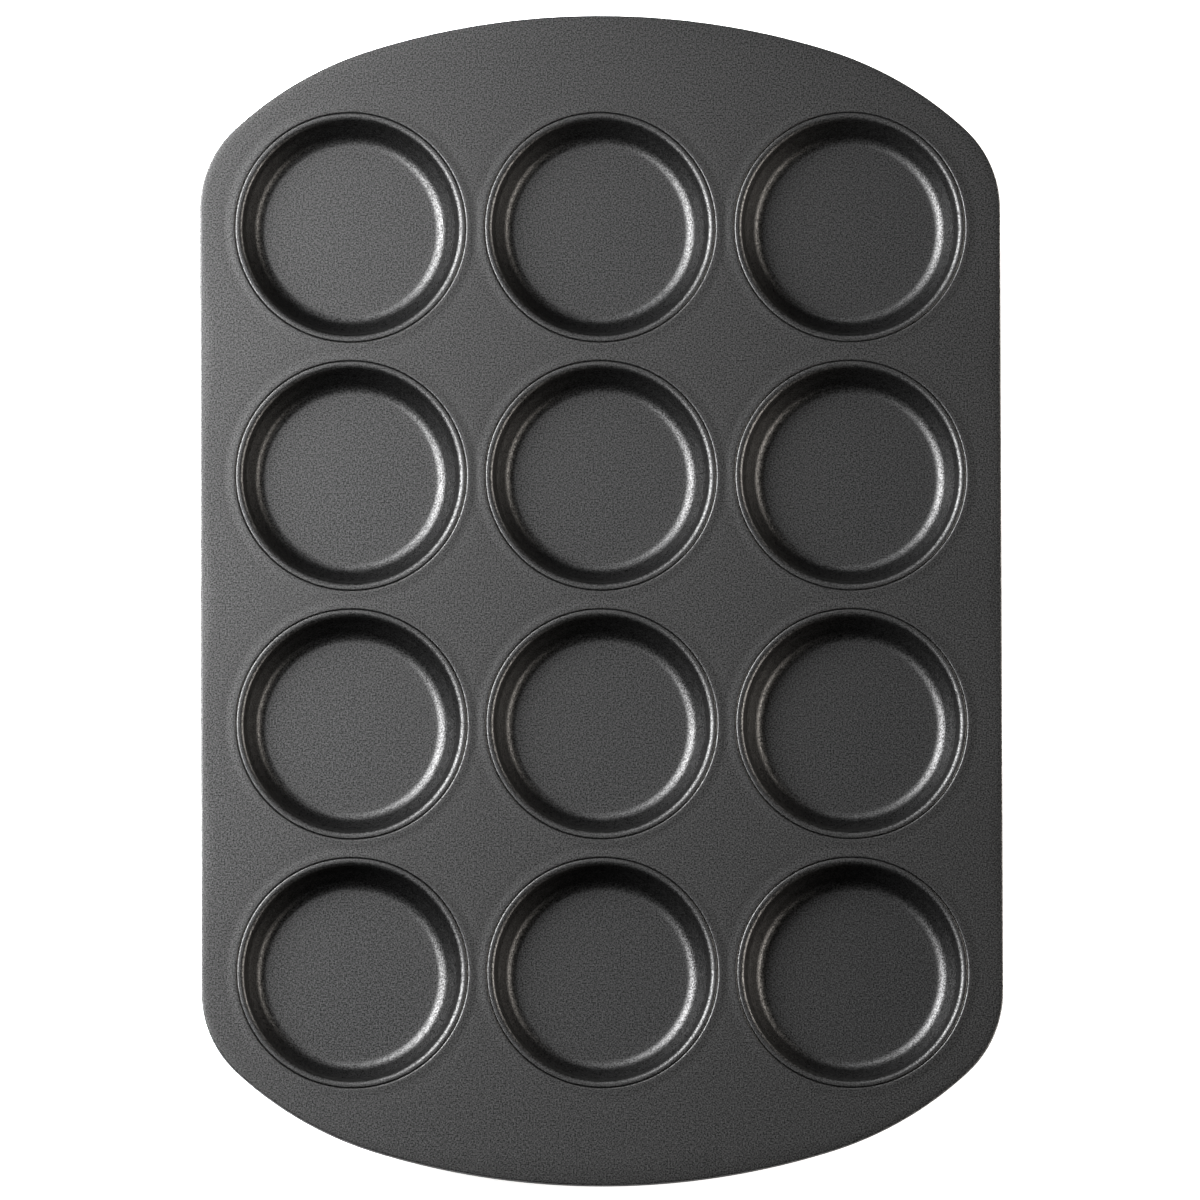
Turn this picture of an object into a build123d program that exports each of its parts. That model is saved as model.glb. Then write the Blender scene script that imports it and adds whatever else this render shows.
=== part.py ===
from build123d import *
from math import cos, radians, sin, tan
import os

# Shallow twelve-cup muffin tin: one deck sheet and twelve drawn cups, each locked to the deck
# by a seam that is rolled under the edge of its hole. Lengths in mm, angles in degrees.
# X runs across the tin, Y along it, Z up. The origin is on the surface that the cup floors
# rest on, below the middle of the deck.

# ---- driving dimensions ----
sheet_gauge = 0.5            # coated steel, the same for the deck and the cups
fit_gap = 0.05               # coating and air between the faces of the seam

tray_width = 280.0           # across the straight sides
tray_length = 411.0          # from bowed end to bowed end
end_radius = 269.0           # shallow arc across each end
end_sweep = 17.2             # where it hands over, from the long axis
shoulder_radius = 125.0      # arc between the end and the corner
shoulder_sweep = 43.0        # where the shoulder hands over, from the long axis

cup_columns = 3
cup_rows = 4
cup_pitch = 87.3             # the same both ways
cup_mouth_radius = 37.7      # where the wall begins, below the rounded lip
cup_depth = 12.7             # from the lip down to the inside of the floor
mouth_flare = 15.0           # of the steep band below the lip, from the vertical
mouth_rise = 3.0             # height of that band
mouth_bend_radius = 8.0      # inside, between the band and the wall
wall_flare = 30.0            # of the wall below it, from the vertical
heel_radius = 4.5            # inside, between the floor and the wall
lip_inner_radius = 1.65      # rounding from the crest of the lip into the cup
lip_outer_radius = 0.55      # rounding from the crest into the seam

hole_radius = 40.4           # inner face of the turned-down collar in the deck
hole_edge_radius = 0.55      # rounding from the deck into the collar
seam_depth = 2.2             # from the deck top to the middle of the collar's lower bend
flange_bend_radius = 0.65    # outer radius of that lower bend
flange_edge_radius = 42.2    # outer edge of the collar's flange, from the cup axis
hook_end_radius = 41.45      # where the cup's hook stops above the flange

rim_depth = 6.0              # height of the turned-down outer rim
rim_bend_radius = 0.6        # rounding from the deck into the rim
curl_radius = 1.1            # outside radius of the rolled lower edge
curl_turn = 270              # how far the lower edge is rolled in

# ---- worked out from the above ----
half_gauge = sheet_gauge / 2
wall_angle = 90 - wall_flare
mouth_angle = 90 - mouth_flare
deck_top = sheet_gauge + cup_depth

cup_xs = [(column - (cup_columns - 1) / 2) * cup_pitch for column in range(cup_columns)]
cup_ys = [((cup_rows - 1) / 2 - row) * cup_pitch for row in range(cup_rows)]
cup_centres = [(x, y) for y in cup_ys for x in cup_xs]

# The outline's corner radius follows from the width: the corner arc carries on from the
# shoulder and comes round to run straight down the side.
end_centre_y = tray_length / 2 - end_radius
shoulder_centre_x = (end_radius - shoulder_radius) * sin(radians(end_sweep))
corner_radius = (
    tray_width / 2 - shoulder_centre_x - shoulder_radius * sin(radians(shoulder_sweep))
) / (1 - sin(radians(shoulder_sweep)))
shoulder_centre_y = end_centre_y + (end_radius - shoulder_radius) * cos(radians(end_sweep))
side_end_y = shoulder_centre_y + (shoulder_radius - corner_radius) * cos(radians(shoulder_sweep))

# The wall takes up the depth that the heel, the bend, the steep band and the lip leave.
heel_rise = heel_radius * (1 - cos(radians(wall_angle)))
bend_rise = mouth_bend_radius * (cos(radians(wall_angle)) - cos(radians(mouth_angle)))
lip_rise = lip_inner_radius * (1 - cos(radians(mouth_angle)))
wall_rise = cup_depth - heel_rise - bend_rise - mouth_rise - lip_rise
wall_length = wall_rise / cos(radians(wall_flare))
band_length = mouth_rise / cos(radians(mouth_flare))

# The floor is what the mouth leaves inside them.
heel_reach = heel_radius * sin(radians(wall_angle))
bend_reach = mouth_bend_radius * (sin(radians(mouth_angle)) - sin(radians(wall_angle)))
wall_reach = wall_rise * tan(radians(wall_flare)) + mouth_rise * tan(radians(mouth_flare))
floor_radius = cup_mouth_radius - wall_reach - bend_reach - heel_reach

# Radii of the seam, outwards from the cup axis.
leg_middle_radius = hole_radius - fit_gap - half_gauge
collar_bend_centre = hole_radius + flange_bend_radius
leg_bend_radius = collar_bend_centre - leg_middle_radius
hook_radius = sheet_gauge + fit_gap
leg_rise = seam_depth - lip_outer_radius


def section_plane(x, y):
    """Upright plane through a cup axis: its x is the radius and its y is the height."""
    return Plane(origin=(x, y, 0), x_dir=(1, 0, 0), z_dir=(0, -1, 0))


def draw_outline():
    """Half of each end from tangent arcs, mirrored both ways, joined by the straight sides."""
    end = JernArc(
        start=(0, tray_length / 2), tangent=(1, 0), radius=end_radius, arc_size=-end_sweep
    )
    shoulder = JernArc(
        start=end @ 1, tangent=end % 1, radius=shoulder_radius,
        arc_size=-(shoulder_sweep - end_sweep),
    )
    corner = JernArc(
        start=shoulder @ 1, tangent=shoulder % 1, radius=corner_radius,
        arc_size=-(90 - shoulder_sweep),
    )
    Line(corner @ 1, (tray_width / 2, 0))
    mirror(about=Plane.XZ)
    mirror(about=Plane.YZ)


# ---- deck sheet: flat panel, turned-down rim and twelve flanged collars, in one piece ----
with BuildPart() as deck_sheet:
    # flat panel, as far as the bends
    with BuildSketch(Plane.XY.offset(deck_top - sheet_gauge)):
        with BuildLine():
            draw_outline()
        make_face()
        offset(amount=-rim_bend_radius, mode=Mode.REPLACE)
        with Locations(*cup_centres):
            Circle(hole_radius + hole_edge_radius, mode=Mode.SUBTRACT)
    extrude(amount=sheet_gauge)

    # outer rim: bend, short apron and rolled lower edge, carried round the outline
    with BuildLine(Plane.XY.offset(deck_top)) as rim_path:
        draw_outline()
    with BuildSketch(Plane(origin=(tray_width / 2, 0, deck_top), x_dir=(1, 0, 0), z_dir=(0, -1, 0))):
        with BuildLine():
            bend = JernArc(
                start=(-rim_bend_radius, -half_gauge), tangent=(1, 0),
                radius=rim_bend_radius - half_gauge, arc_size=-90,
            )
            apron = PolarLine(bend @ 1, rim_depth - rim_bend_radius - curl_radius, direction=bend % 1)
            JernArc(
                start=apron @ 1, tangent=apron % 1, radius=curl_radius - half_gauge,
                arc_size=-curl_turn,
            )
        trace(line_width=sheet_gauge)
    sweep(path=rim_path.wire())

    # collar round each hole, ending in the flange that the cup hooks onto
    for centre_x, centre_y in cup_centres:
        with BuildSketch(section_plane(centre_x, centre_y)):
            with BuildLine():
                edge = JernArc(
                    start=(hole_radius + hole_edge_radius, deck_top - half_gauge), tangent=(-1, 0),
                    radius=hole_edge_radius - half_gauge, arc_size=90,
                )
                collar = PolarLine(edge @ 1, seam_depth - hole_edge_radius, direction=edge % 1)
                turn = JernArc(
                    start=collar @ 1, tangent=collar % 1,
                    radius=flange_bend_radius - half_gauge, arc_size=90,
                )
                PolarLine(turn @ 1, flange_edge_radius - collar_bend_centre, direction=turn % 1)
            trace(line_width=sheet_gauge)
        revolve(axis=Axis((centre_x, centre_y, 0), (0, 0, 1)))


def draw_cup(centre_x, centre_y):
    """One drawn cup: floor, heel, flared wall, steeper band, rounded lip, and the hook round the flange."""
    with BuildPart() as cup:
        with BuildSketch(section_plane(centre_x, centre_y)):
            with BuildLine():
                floor = Line((0, half_gauge), (floor_radius, half_gauge))
                heel = JernArc(
                    start=floor @ 1, tangent=floor % 1,
                    radius=heel_radius + half_gauge, arc_size=wall_angle,
                )
                wall = PolarLine(heel @ 1, wall_length, direction=heel % 1)
                mouth_bend = JernArc(
                    start=wall @ 1, tangent=wall % 1,
                    radius=mouth_bend_radius + half_gauge, arc_size=mouth_angle - wall_angle,
                )
                band = PolarLine(mouth_bend @ 1, band_length, direction=mouth_bend % 1)
                lip_inside = JernArc(
                    start=band @ 1, tangent=band % 1,
                    radius=lip_inner_radius - half_gauge, arc_size=-mouth_angle,
                )
                lip_turn_start = leg_middle_radius - (lip_outer_radius - half_gauge)
                crest = Line(lip_inside @ 1, (lip_turn_start, deck_top - half_gauge))
                lip_outside = JernArc(
                    start=crest @ 1, tangent=crest % 1,
                    radius=lip_outer_radius - half_gauge, arc_size=-90,
                )
                leg = PolarLine(lip_outside @ 1, leg_rise, direction=lip_outside % 1)
                leg_bend = JernArc(
                    start=leg @ 1, tangent=leg % 1, radius=leg_bend_radius, arc_size=90,
                )
                under = PolarLine(
                    leg_bend @ 1, flange_edge_radius - collar_bend_centre, direction=leg_bend % 1
                )
                hook = JernArc(
                    start=under @ 1, tangent=under % 1, radius=hook_radius, arc_size=180,
                )
                PolarLine(hook @ 1, flange_edge_radius - hook_end_radius, direction=hook % 1)
            trace(line_width=sheet_gauge)
        revolve(axis=Axis((centre_x, centre_y, 0), (0, 0, 1)))
    return cup.part


# ---- write every piece under its own name ----
os.makedirs("parts", exist_ok=True)

deck_sheet.part.label = "deck_sheet"
export_step(deck_sheet.part, "parts/deck_sheet.step")

column_names = ["left", "middle", "right"]
for row, centre_y in enumerate(cup_ys, start=1):
    for column_name, centre_x in zip(column_names, cup_xs):
        cup_part = draw_cup(centre_x, centre_y)
        cup_part.label = f"cup_row_{row}_{column_name}"
        export_step(cup_part, f"parts/{cup_part.label}.step")
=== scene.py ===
import math

import bmesh
import bpy
import numpy as np
from mathutils import Matrix, Quaternion, Vector


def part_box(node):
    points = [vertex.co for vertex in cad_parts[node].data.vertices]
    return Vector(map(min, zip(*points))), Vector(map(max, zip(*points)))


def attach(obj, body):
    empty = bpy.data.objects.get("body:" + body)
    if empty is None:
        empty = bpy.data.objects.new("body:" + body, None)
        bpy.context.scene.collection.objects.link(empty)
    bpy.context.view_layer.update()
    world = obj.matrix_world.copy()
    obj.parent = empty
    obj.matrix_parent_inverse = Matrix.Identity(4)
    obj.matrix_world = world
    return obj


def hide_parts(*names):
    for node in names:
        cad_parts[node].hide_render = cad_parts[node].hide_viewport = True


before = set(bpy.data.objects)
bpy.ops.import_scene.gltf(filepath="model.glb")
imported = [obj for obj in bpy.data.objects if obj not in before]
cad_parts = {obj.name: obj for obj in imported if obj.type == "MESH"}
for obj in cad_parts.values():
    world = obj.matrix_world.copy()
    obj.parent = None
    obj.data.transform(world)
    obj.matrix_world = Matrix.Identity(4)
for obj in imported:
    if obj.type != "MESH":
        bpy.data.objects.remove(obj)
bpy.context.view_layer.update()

# A shallow twelve-cup muffin tin: one pressed deck sheet, and twelve drawn cups that hook under the
# edges of its holes. x runs across the tin, y along it and z up from the undersides of the cups.
mm = 0.001
columnNames = ("left", "middle", "right")
rowNumbers = (1, 2, 3, 4)  # from +y to -y

sheet = {
    "gauge": 0.5 * mm,  # coated steel, the same for the deck and the cups
    "sharpAngle": math.radians(50),  # edges bent further than this are drawn sharp
    "smallestEdge": 1e-8,  # shorter ones are taken out
}


def cupName(row, column):
    return f"cup_row_{row}_{column}"


# the deck's size and the axes of the cups come from the CAD part
deckLow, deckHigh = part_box("deck_sheet")
deckTop = deckHigh.z
halfWidth, halfLength = deckHigh.x, deckHigh.y
cupCentres = {}
for row in rowNumbers:
    for column in columnNames:
        low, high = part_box(cupName(row, column))
        cupCentres[row, column] = np.array(((low.x + high.x) / 2, (low.y + high.y) / 2))
pitch = cupCentres[1, "right"][0] - cupCentres[1, "middle"][0]
print("frame read: deck top", round(deckTop / mm, 2), "mm, cup pitch", round(pitch / mm, 2), "mm")


# A section line of straight runs and arcs, each tangent to the one before. A run is (length,) and a
# turn is (radius, angle), positive to the left, each cut into its number of steps. An arc's points
# are its centre plus the radius times the turned direction. Gives the points and left normals.
def bentLine(start, heading, moves, steps):
    points, headings = [np.array([start])], [np.array([heading])]
    at, angle = np.array(start, float), heading
    for move, count in zip(moves, steps):
        part = np.arange(1, count + 1) / count
        if len(move) == 1:
            ahead = np.array((math.cos(angle), math.sin(angle)))
            line = at + part[:, None] * move[0] * ahead
            turned = np.full(count, angle)
        else:
            radius, bend = move
            side = math.copysign(1, bend)
            centre = at + radius * side * np.array((-math.sin(angle), math.cos(angle)))
            turned = angle + part * bend
            line = centre + radius * side * np.stack((np.sin(turned), -np.cos(turned)), 1)
            angle += bend
        points.append(line)
        headings.append(turned)
        at = line[-1]
    headings = np.concatenate(headings)
    return np.concatenate(points), np.stack((-np.sin(headings), np.cos(headings)), 1)


# Both faces of a sheet along a section line: the face on its left, half a gauge out, and then the
# face on its right, on the way back.
def sheetFaces(start, heading, moves, steps):
    line, left = bentLine(start, heading, moves, steps)
    half = sheet["gauge"] / 2
    return line + half * left, (line - half * left)[::-1]


# How much of the deck's own rise and fall a point at height z takes on: all of it within the deck's
# thickness and none at the given depth, as the square of the height left between the two.
def followDeck(z, depth):
    return np.clip((z - (deckTop - depth)) / (depth - sheet["gauge"]), 0, 1) ** 2


def meshObject(name, vertices, faces):
    mesh = bpy.data.meshes.new(name)
    mesh.from_pydata(vertices.reshape(-1, 3).tolist(), [], faces.tolist())
    mesh.update()
    piece = bpy.data.objects.new(name, mesh)
    bpy.context.scene.collection.objects.link(piece)
    return piece


# Quads between neighbouring rows and columns of a grid of vertices, where the last column meets the
# first again; start is the number of the grid's first vertex.
def gridFaces(grid, start=0):
    rows, columns = grid.shape[:2]
    index = start + np.arange(rows * columns).reshape(rows, columns)
    index = np.concatenate((index, index[:, :1]), 1)
    quads = (index[:-1, :-1], index[:-1, 1:], index[1:, 1:], index[1:, :-1])
    return np.stack(quads, -1).reshape(-1, 4)


# Merges doubled vertices, turns every face outwards and shades smooth except at sharp edges.
def finishMesh(piece, mergeWithin):
    work = bmesh.new()
    work.from_mesh(piece.data)
    bmesh.ops.remove_doubles(work, verts=work.verts, dist=mergeWithin)
    bmesh.ops.dissolve_degenerate(work, dist=sheet["smallestEdge"], edges=work.edges)
    bmesh.ops.recalc_face_normals(work, faces=work.faces)
    openEdges = 0
    for edge in work.edges:
        if not edge.is_manifold:
            openEdges += 1
        elif edge.calc_face_angle() > sheet["sharpAngle"]:
            edge.smooth = False
    work.to_mesh(piece.data)
    work.free()
    piece.data.polygons.foreach_set("use_smooth", np.ones(len(piece.data.polygons), bool))
    print(piece.name, len(piece.data.vertices), "vertices,", openEdges, "open edges")
    return piece


cup = {
    "mouthRadius": 37.7 * mm,  # where the wall meets the rounded lip
    "mouthFlare": math.radians(15),  # of the steep band below the lip, from the vertical
    "mouthRise": 3.0 * mm,  # height of that band
    "mouthBendRadius": 8 * mm,  # inside, between the band and the wall
    "wallFlare": math.radians(30),  # of the wall below it, from the vertical
    "heelRadius": 4.5 * mm,  # inside, between the wall and the floor
    "lipInnerRadius": 1.65 * mm,  # from the crest of the lip into the cup
    "lipOuterRadius": 0.55 * mm,  # from the crest down into the seam
    "steps": (12, 14, 4, 4, 2, 10, 2, 8, 2, 6, 1, 8, 1),  # of each run and turn, floor to hook
    "segments": 144,  # round the axis
    "mergeWithin": 0.001 * mm,
}

seam = {
    "holeRadius": 40.4 * mm,  # inner face of the collar that is turned down from the deck
    "holeEdgeRadius": 0.5 * mm,  # from the deck into the collar
    "gap": 0.05 * mm,  # between the faces of the seam
    "depth": 2.2 * mm,  # from the deck top to the middle of the collar's lower bend
    "flangeBendRadius": 0.65 * mm,  # outside, from the collar into its flange
    "flangeEdge": 42.2 * mm,  # outer edge of the flange, from the cup's axis
    "hookEnd": 41.45 * mm,  # where the cup's hook stops above the flange
    "collarSteps": (7, 2, 5, 1),  # of the deck's edge, the collar, its lower bend and the flange
}


# The middle line of a cup's sheet, from the middle of the floor: heel, wall, bend, steep band, lip,
# crest, leg down the collar, bend under it, run under the flange, and the hook round its edge. The
# wall's height is what the other parts leave of the depth, and the floor is what they leave inside
# the mouth: a run covers its height times the tangent of its flare.
def cupMoves():
    gauge = sheet["gauge"]
    low, high = cup["wallFlare"], cup["mouthFlare"]
    heel, bend, lip = cup["heelRadius"], cup["mouthBendRadius"], cup["lipInnerRadius"]
    wallRise = (deckTop - gauge - cup["mouthRise"] - heel * (1 - math.sin(low))
                - lip * (1 - math.sin(high)) - bend * (math.sin(low) - math.sin(high)))
    floorRadius = (cup["mouthRadius"] - cup["mouthRise"] * math.tan(high)
                   - wallRise * math.tan(low) - heel * math.cos(low)
                   - bend * (math.cos(high) - math.cos(low)))
    lipStart = cup["mouthRadius"] + lip * math.cos(high)
    legMiddle = seam["holeRadius"] - seam["gap"] - gauge / 2
    lipOuter = cup["lipOuterRadius"] - gauge / 2
    collarBend = seam["holeRadius"] + seam["flangeBendRadius"]
    return [
        (floorRadius,),
        (heel + gauge / 2, math.pi / 2 - low),
        (wallRise / math.cos(low),),
        (bend + gauge / 2, low - high),
        (cup["mouthRise"] / math.cos(high),),
        (lip - gauge / 2, high - math.pi / 2),
        (legMiddle - lipOuter - lipStart,),
        (lipOuter, -math.pi / 2),
        (seam["depth"] - cup["lipOuterRadius"],),
        (collarBend - legMiddle, math.pi / 2),
        (seam["flangeEdge"] - collarBend,),
        (gauge + seam["gap"], math.pi),
        (seam["flangeEdge"] - seam["hookEnd"],),
    ]


# The cup's section turned round its own axis: (r cos a, r sin a, z) for every angle a.
def makeCup(row, column):
    floorMiddle = (0, sheet["gauge"] / 2)
    section = np.concatenate(sheetFaces(floorMiddle, 0.0, cupMoves(), cup["steps"]))
    turn = np.arange(cup["segments"]) * 2 * math.pi / cup["segments"]
    centre = cupCentres[row, column]
    r, z = section[:, :1], section[:, 1:]
    x, y = centre[0] + r * np.cos(turn), centre[1] + r * np.sin(turn)
    grid = np.stack((x, y, np.broadcast_to(z, x.shape)), -1)
    piece = meshObject(f"{cupName(row, column)}_drawn", grid, gridFaces(grid))
    return finishMesh(piece, cup["mergeWithin"])


cups = {}
for row, column in cupCentres:
    piece = makeCup(row, column)
    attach(piece, "root")
    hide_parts(cupName(row, column))
    cups[row, column] = piece
print("cups made:", len(cups))

outline = {
    "endRadius": 269 * mm,  # the bowed ends
    "shoulderRadius": 125 * mm,  # between an end and a corner
    "endSweep": math.radians(17.2),  # where the end hands over, from the long axis
    "shoulderSweep": math.radians(43.0),  # where the shoulder hands over
    "samples": 20001,  # for finding a place along it
}

rim = {
    "depth": deckTop - deckLow.z,
    "bendRadius": 0.6 * mm,  # from the deck into the rim
    "curlRadius": 1.1 * mm,  # of the rolled lower edge
    "curlTurn": math.radians(270),  # how far it is rolled in
    "steps": (6, 1, 11),  # of the bend, the apron and the curl
}

deck = {
    "pointsPerSide": 32,  # of the four sides of the cell round each cup
    "ringsTop": 16,
    "ringsUnder": 6,
    "crowding": 1.5,  # of the rings towards the hole
    "crowdedWithin": 2.2 * mm,  # cells no wider than this have all but even rings
    "leastReach": 1.05,  # in that width, which keeps the crowding's growth above zero
    "ridgeHeight": 0.045 * mm,  # the pressed ridge round each hole
    "ridgeRadius": 41.5 * mm,
    "ridgeSpread": 1.2 * mm,
    "valleyDepth": 0.03 * mm,  # and the shallow valley outside it
    "valleyRadius": 44.3 * mm,
    "valleySpread": 1.4 * mm,
    "mergeWithin": 0.004 * mm,
}


# One quarter of the outline: its tangent arcs as (start angle, end angle, centre, radius), from the
# long axis to the side, and the y where the straight side takes over. The corner's radius is what
# the half width leaves beyond the shoulder.
def quarterOutline():
    big, middle = outline["endRadius"], outline["shoulderRadius"]
    a, b = outline["endSweep"], outline["shoulderSweep"]
    endCentre = np.array((0, halfLength - big))
    shoulderCentre = endCentre + (big - middle) * np.array((math.sin(a), math.cos(a)))
    small = (halfWidth - shoulderCentre[0] - middle * math.sin(b)) / (1 - math.sin(b))
    cornerCentre = shoulderCentre + (middle - small) * np.array((math.sin(b), math.cos(b)))
    arcs = [
        (0, a, endCentre, big),
        (a, b, shoulderCentre, middle),
        (b, math.pi / 2, cornerCentre, small),
    ]
    return arcs, cornerCentre[1]


outlineArcs, sideEnd = quarterOutline()
arcLengths = [(b - a) * radius for a, b, _, radius in outlineArcs]
quarterLength = sum(arcLengths) + sideEnd
wholeLength = 4 * quarterLength


# Point and outward direction at length s, clockwise from the +y end of the long axis. Within a
# quarter the direction is (sin t, cos t), where t grows as length over radius on each arc and stays
# square to the straight side; the other quarters are its mirrors.
def outlinePoint(s):
    s = np.mod(np.asarray(s, float), wholeLength)
    quarter = np.minimum((s // quarterLength).astype(int), 3)
    local = s - quarter * quarterLength
    local = np.where(quarter % 2 == 1, quarterLength - local, local)
    x = np.full(s.shape, halfWidth)
    y = quarterLength - local
    angle = np.full(s.shape, math.pi / 2)
    begun = sum(arcLengths)
    for (a, _, centre, radius), length in reversed(list(zip(outlineArcs, arcLengths))):
        onArc = local <= begun
        begun -= length
        t = a + (local - begun) / radius
        x = np.where(onArc, centre[0] + radius * np.sin(t), x)
        y = np.where(onArc, centre[1] + radius * np.cos(t), y)
        angle = np.where(onArc, t, angle)
    mirrorX = np.where(quarter >= 2, -1.0, 1.0)
    mirrorY = np.where((quarter == 1) | (quarter == 2), -1.0, 1.0)
    place = np.stack((x * mirrorX, y * mirrorY), -1)
    outward = np.stack((np.sin(angle) * mirrorX, np.cos(angle) * mirrorY), -1)
    return place, outward


# The flat deck's edge, where the rim's bend begins: the outline moved in by the bend's radius.
def deckEdge(s):
    place, outward = outlinePoint(s)
    return place - rim["bendRadius"] * outward


# The length, between two others, at which a coordinate of the deck's edge reaches a value.
def lengthWhere(axis, value, low, high):
    s = np.linspace(low, high, outline["samples"])
    reach = deckEdge(s)[:, axis]
    order = np.argsort(reach)
    return float(np.interp(value, reach[order], s[order]))


# Height of the deck top: flat, with a low ridge and a shallow valley round each hole, both of them
# bell curves of the distance from the hole's axis. The crest of the ridge is at the deck top.
def deckHeight(place):
    height = np.full(place.shape[:-1], deckTop - deck["ridgeHeight"])
    for centre in cupCentres.values():
        distance = np.linalg.norm(place - centre, axis=-1)
        fromRidge = (distance - deck["ridgeRadius"]) / deck["ridgeSpread"]
        fromValley = (distance - deck["valleyRadius"]) / deck["valleySpread"]
        height += deck["ridgeHeight"] * np.exp(-fromRidge ** 2)
        height -= deck["valleyDepth"] * np.exp(-fromValley ** 2)
    return height


# Lengths at which the lines between the cells meet the deck's edge, clockwise, with one more in the
# middle of each corner cell's stretch. The second half is the first, half a round further on.
def cellLengths():
    top = lengthWhere(0, pitch / 2, 0, quarterLength)
    side = lengthWhere(1, -pitch, quarterLength, 2 * quarterLength)
    upperSide = 2 * quarterLength - side
    corner = (top + upperSide) / 2
    half = [top, corner, upperSide, quarterLength]
    half += [2 * quarterLength - length for length in (upperSide, corner, top)]
    return half + [length + 2 * quarterLength for length in half]


edgeLengths = cellLengths()
edgeCorners = (  # the same places, as x and y in half pitches
    (1, 4), (3, 4), (3, 2), (3, 0), (3, -2), (3, -4), (1, -4),
    (-1, -4), (-3, -4), (-3, -2), (-3, 0), (-3, 2), (-3, 4), (-1, 4),
)
lengthAt = dict(zip(edgeCorners, edgeLengths))


# Lengths from a on towards b, one for each point of a side, stopping a step short of b.
def lengthsBetween(a, b):
    return a + (b - a) * np.arange(deck["pointsPerSide"]) / deck["pointsPerSide"]


# The same for points on a straight side: each is a mix of its two ends.
def pointsBetween(a, b):
    part = np.arange(deck["pointsPerSide"])[:, None] / deck["pointsPerSide"]
    return a * (1 - part) + b * part


def cornerPoint(corner):
    if corner in lengthAt:
        return deckEdge(lengthAt[corner])
    return np.array(corner) * pitch / 2


# The closed edge of the part of the deck round one cup, clockwise: stretches of the deck's edge
# between two corners on it, and straight sides elsewhere.
def cellBoundary(row, column):
    x = 2 * columnNames.index(column) - (len(columnNames) - 1)
    y = len(rowNumbers) + 1 - 2 * row
    west, east, south, north = x - 1, x + 1, y - 1, y + 1
    corners = [(west, north), (east, north), (east, south), (west, south)]
    sides = []
    for a, b in zip(corners, corners[1:] + corners[:1]):
        if a in lengthAt and b in lengthAt:
            start, end = lengthAt[a], lengthAt[b]
            if end < start:
                end += wholeLength
            sides.append(deckEdge(lengthsBetween(start, end)))
        else:
            sides.append(pointsBetween(cornerPoint(a), cornerPoint(b)))
    return np.concatenate(sides)


# Fractions of the way from the hole to the cell's edge, crowded towards the hole: an exponential
# whose growth is the logarithm of how far there is to go.
def ringSteps(reach, count):
    reach = np.maximum(reach / deck["crowdedWithin"], deck["leastReach"])
    growth = deck["crowding"] * np.log(reach)
    steps = np.linspace(0, 1, count)[:, None]
    return np.expm1(growth * steps) / np.expm1(growth)


# One cell as a grid, with a column of vertices for each point of the cell's edge. Down each column
# runs the sheet's section: in from the edge under the deck, round the collar and its flange, and
# back out over the top.
def deckCell(row, column):
    gauge = sheet["gauge"]
    centre = cupCentres[row, column]
    edge = cellBoundary(row, column)
    away = edge - centre
    reach = np.linalg.norm(away, axis=1)
    away = away / reach[:, None]
    inner = seam["holeRadius"] + seam["holeEdgeRadius"]
    flangeRun = seam["flangeEdge"] - seam["holeRadius"] - seam["flangeBendRadius"]
    underFace, topFace = sheetFaces((inner, deckTop - gauge / 2), math.pi, [
        (seam["holeEdgeRadius"] - gauge / 2, math.pi / 2),
        (seam["depth"] - seam["holeEdgeRadius"],),
        (seam["flangeBendRadius"] - gauge / 2, math.pi / 2),
        (flangeRun,),
    ], seam["collarSteps"])

    # rings of one face of the deck, the given thickness below its top
    def ringGrid(count, below):
        r = inner + (reach - inner) * ringSteps(reach - inner, count)
        place = centre + r[..., None] * away
        place[-1] = edge
        return np.concatenate((place, (deckHeight(place) - below)[..., None]), -1)

    # a face of the collar, turned round the hole's axis
    def collarGrid(section):
        r, z = section[:, 0, None], section[:, 1, None]
        place = centre + r[..., None] * away
        lift = deckHeight(centre + inner * away) - deckTop
        height = z + followDeck(z, seam["depth"]) * lift
        return np.concatenate((place, height[..., None]), -1)

    under = ringGrid(deck["ringsUnder"], gauge)[::-1]
    over = ringGrid(deck["ringsTop"], 0)
    return np.concatenate((under[:-1], collarGrid(underFace), collarGrid(topFace), over[1:]))


# The rim's section carried round the outline: each of its points goes out along the outline's own
# direction, and down from the deck.
def rimGrid():
    gauge = sheet["gauge"]
    section = np.concatenate(sheetFaces((-rim["bendRadius"], deckTop - gauge / 2), 0.0, [
        (rim["bendRadius"] - gauge / 2, -math.pi / 2),
        (rim["depth"] - rim["bendRadius"] - rim["curlRadius"],),
        (rim["curlRadius"] - gauge / 2, -rim["curlTurn"]),
    ], rim["steps"]))
    ends = edgeLengths + [edgeLengths[0] + wholeLength]
    s = np.concatenate([lengthsBetween(a, b) for a, b in zip(ends, ends[1:])])
    place, outward = outlinePoint(s)
    r, z = section[:, 0, None], section[:, 1, None]
    lift = deckHeight(deckEdge(s)) - deckTop
    height = z + followDeck(z, rim["depth"]) * lift
    return np.concatenate((place + r[..., None] * outward, height[..., None]), -1)


# The twelve cells and the rim, merged along the edges that they share.
def makeDeck():
    grids = [deckCell(row, column) for row, column in cupCentres] + [rimGrid()]
    faces, count = [], 0
    for grid in grids:
        faces.append(gridFaces(grid, start=count))
        count += grid.shape[0] * grid.shape[1]
    vertices = np.concatenate([grid.reshape(-1, 3) for grid in grids])
    piece = meshObject("deck_sheet_pressed", vertices, np.concatenate(faces))
    return finishMesh(piece, deck["mergeWithin"])


deckPiece = makeDeck()
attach(deckPiece, "root")
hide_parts("deck_sheet")
print("deck made")

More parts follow.
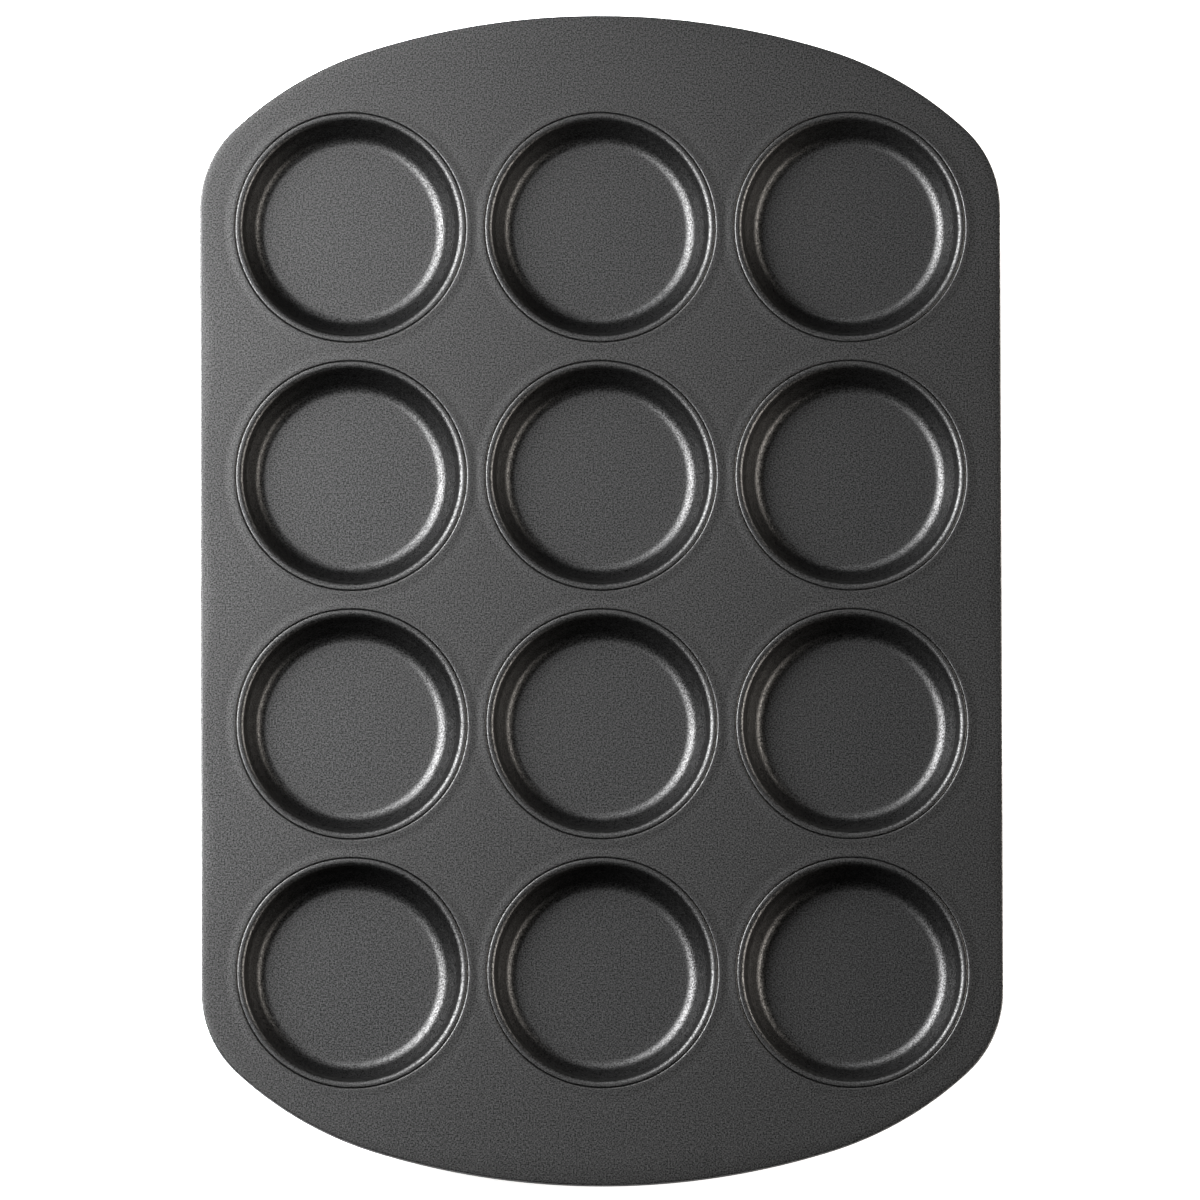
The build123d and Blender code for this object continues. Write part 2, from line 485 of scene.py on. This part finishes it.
coating = {
    "dark": (0.011, 0.011, 0.011, 1),
    "light": (0.071, 0.071, 0.0715, 1),
    "darkUpTo": 0.35,  # of the noise, whose middle is 0.5
    "lightFrom": 0.68,
    "roughness": (0.40, 0.48),
    "grazing": (0.4, 0.4, 0.4, 1),  # how much of the usual glare stays at low angles
    "grain": 1900.0,  # specks to the metre
    "grainDetail": 2,
    "grainTilt": 0.25,  # how far the specks tilt the surface
}


# A satin coating: noise mixes the dark and the light colour and varies the roughness, and the same
# noise, less its middle value and times the tilt, is added to the surface's normal.
def makeCoating():
    material = bpy.data.materials.new("nonstick_coating")
    material.use_nodes = True
    nodes, links = material.node_tree.nodes, material.node_tree.links
    shader = nodes["Principled BSDF"]
    shader.inputs["Metallic"].default_value = 1.0
    shader.inputs["Specular Tint"].default_value = coating["grazing"]

    specks = nodes.new("ShaderNodeTexNoise")
    specks.inputs["Scale"].default_value = coating["grain"]
    specks.inputs["Detail"].default_value = coating["grainDetail"]
    coords = nodes.new("ShaderNodeTexCoord")
    links.new(coords.outputs["Object"], specks.inputs["Vector"])

    colour = nodes.new("ShaderNodeValToRGB")
    darkEnd, lightEnd = colour.color_ramp.elements
    darkEnd.position, lightEnd.position = coating["darkUpTo"], coating["lightFrom"]
    darkEnd.color, lightEnd.color = coating["dark"], coating["light"]
    links.new(specks.outputs["Fac"], colour.inputs["Fac"])
    links.new(colour.outputs["Color"], shader.inputs["Base Color"])

    rough = nodes.new("ShaderNodeMapRange")
    for end, value in zip(("To Min", "To Max"), coating["roughness"]):
        rough.inputs[end].default_value = value
    links.new(specks.outputs["Fac"], rough.inputs["Value"])
    links.new(rough.outputs["Result"], shader.inputs["Roughness"])

    centred = nodes.new("ShaderNodeVectorMath")
    centred.operation = "SUBTRACT"
    centred.inputs[1].default_value = (0.5, 0.5, 0.5)
    links.new(specks.outputs["Color"], centred.inputs[0])
    tilt = nodes.new("ShaderNodeVectorMath")
    tilt.operation = "SCALE"
    tilt.inputs["Scale"].default_value = coating["grainTilt"]
    links.new(centred.outputs[0], tilt.inputs[0])
    tilted = nodes.new("ShaderNodeVectorMath")
    tilted.operation = "ADD"
    links.new(nodes.new("ShaderNodeNewGeometry").outputs["Normal"], tilted.inputs[0])
    links.new(tilt.outputs[0], tilted.inputs[1])
    unit = nodes.new("ShaderNodeVectorMath")
    unit.operation = "NORMALIZE"
    links.new(tilted.outputs[0], unit.inputs[0])
    links.new(unit.outputs[0], shader.inputs["Normal"])
    return material


coat = makeCoating()
for piece in [deckPiece, *cups.values()]:
    piece.data.materials.append(coat)
print("coating on", 1 + len(cups), "pieces")

view = {
    "distance": 16.0,  # a long lens from far off keeps the sides all but parallel
    "tilt": math.radians(6.0),  # from straight above towards the -y end
    "yaw": math.radians(-1.21),  # towards the left side
    "roll": math.radians(-0.176),
    "aim": (-0.46 * mm, -0.12 * mm),
    "frameAcross": 419.3 * mm,  # what the square frame takes in at the deck
    "sensorWidth": 36,
    "clipEnd": 100,
}


# A camera at its distance from the aim, looking at it. The lens is the sensor's width times the
# distance, over the width that the frame takes in.
def makeCamera():
    data = bpy.data.cameras.new("camera")
    camera = bpy.data.objects.new("camera", data)
    bpy.context.scene.collection.objects.link(camera)
    target = Vector((*view["aim"], deckTop))
    away = Vector((math.sin(view["yaw"]), -math.sin(view["tilt"]), math.cos(view["tilt"])))
    away.normalize()
    right = Vector((0, 1, 0)).cross(away).normalized()
    level = Matrix((right, away.cross(right), away)).transposed().to_quaternion()
    camera.location = target + view["distance"] * away
    camera.rotation_euler = (level @ Quaternion((0, 0, 1), view["roll"])).to_euler()
    data.sensor_width = view["sensorWidth"]
    data.lens = data.sensor_width * view["distance"] / view["frameAcross"]
    data.clip_end = view["clipEnd"]
    bpy.context.scene.camera = camera


makeCamera()
print("camera", view["distance"], "m away")

studio = {
    "left_softbox": {
        "place": (-0.556, 0.19, 0.436),
        "facing": (0, 0.012, 0),
        "size": (0.603, 0.759),
        "brightness": 32.3,
        "colour": (1, 1, 1),
    },
    "overhead": {
        "place": (0, 2.36, 1.9),
        "facing": (0, 0, 0),
        "size": (1.4, 1.2),
        "brightness": 3.5,
        "colour": (1, 1, 1),
    },
    "right_card": {
        "place": (0.95, -0.057, 0.16),
        "facing": (0, 0, 0.02),
        "size": (0.9, 0.34),
        "brightness": 26.0,
        "colour": (1, 0.93, 0.85),
    },
}


# A one-sided panel, whose power is its brightness times pi times its area.
def makeLight(name, panel):
    width, height = panel["size"]
    data = bpy.data.lights.new(name, "AREA")
    data.shape = "RECTANGLE"
    data.size, data.size_y = width, height
    data.energy = panel["brightness"] * math.pi * width * height
    data.color = panel["colour"]
    light = bpy.data.objects.new(name, data)
    bpy.context.scene.collection.objects.link(light)
    light.location = panel["place"]
    toward = Vector(panel["facing"]) - Vector(panel["place"])
    light.rotation_euler = toward.to_track_quat("-Z", "Y").to_euler()


for name, panel in studio.items():
    makeLight(name, panel)
print("lights:", ", ".join(studio))

floor = {
    "halfSize": 3.0,
    "height": -0.05 * mm,  # just clear of the cups' undersides, so that the faces don't mix
    "colour": (0.92, 0.92, 0.92, 1),
    "roughness": 0.9,
    "glow": 0.9,  # lifts the shadows
}

room = {
    "colour": (1, 1, 1, 1),
    "brightness": 0.02,
}


def makeFloor():
    half, z = floor["halfSize"], floor["height"]
    corners = [(-half, -half, z), (half, -half, z), (half, half, z), (-half, half, z)]
    mesh = bpy.data.meshes.new("floor")
    mesh.from_pydata(corners, [], [(0, 1, 2, 3)])
    ground = bpy.data.objects.new("floor", mesh)
    bpy.context.scene.collection.objects.link(ground)
    pale = bpy.data.materials.new("pale_floor")
    pale.use_nodes = True
    shader = pale.node_tree.nodes["Principled BSDF"]
    shader.inputs["Base Color"].default_value = floor["colour"]
    shader.inputs["Roughness"].default_value = floor["roughness"]
    shader.inputs["Emission Color"].default_value = (1, 1, 1, 1)
    shader.inputs["Emission Strength"].default_value = floor["glow"]
    mesh.materials.append(pale)


def makeRoom():
    world = bpy.data.worlds.new("room")
    world.use_nodes = True
    background = world.node_tree.nodes["Background"]
    background.inputs["Color"].default_value = room["colour"]
    background.inputs["Strength"].default_value = room["brightness"]
    bpy.context.scene.world = world
    bpy.context.scene.view_settings.view_transform = "Standard"


makeFloor()
makeRoom()
print("floor and room ready")
